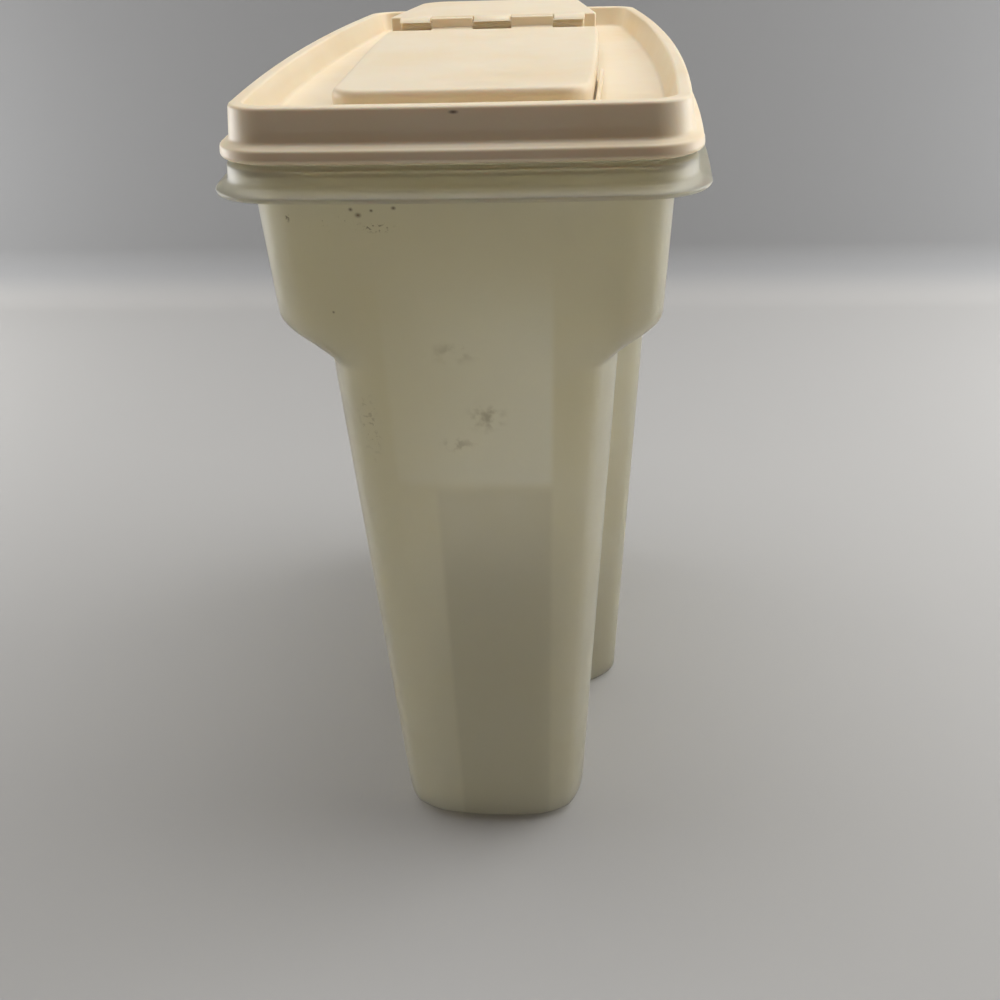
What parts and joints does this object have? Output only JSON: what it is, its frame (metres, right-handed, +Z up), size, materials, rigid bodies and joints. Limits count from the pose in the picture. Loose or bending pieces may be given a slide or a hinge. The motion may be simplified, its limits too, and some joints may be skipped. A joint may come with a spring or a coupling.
{
  "type": "cereal container with flip spout",
  "caption": "Tall sheer plastic dry-food container with a drawn-in pouring end for the hand, a press-on seal and a hinged flip cap over its pour opening.",
  "frame": {"origin": "centre of the flat base, on the surface the container stands on", "axes": "+Z up; X across the narrow way; Y along the long way, with the pouring end and the flip cap's free edge towards -Y and the hinge housing towards +Y"},
  "size_m": [0.1152, 0.1958, 0.2414],
  "materials": {
    "sheer_polyethylene": "satin, milky and see-through",
    "almond_polyethylene": "satin with a fine grain"
  },
  "bodies": {
    "container": {"container": "sheer_polyethylene"},
    "seal": {"seal": "almond_polyethylene"},
    "flip_cap": {"flip_cap": "almond_polyethylene"}
  },
  "joints": [
    {"name": "seal_lift", "type": "slide", "parent": "container", "child": "seal", "axis": [0, 0, 1], "range_m": [0, 0.08]},
    {"name": "flip_cap_hinge", "type": "hinge", "parent": "seal", "child": "flip_cap", "pos_m": [0, 0.032, 0.2389], "axis": [-1, 0, 0], "range_deg": [0, 115]}
  ]
}
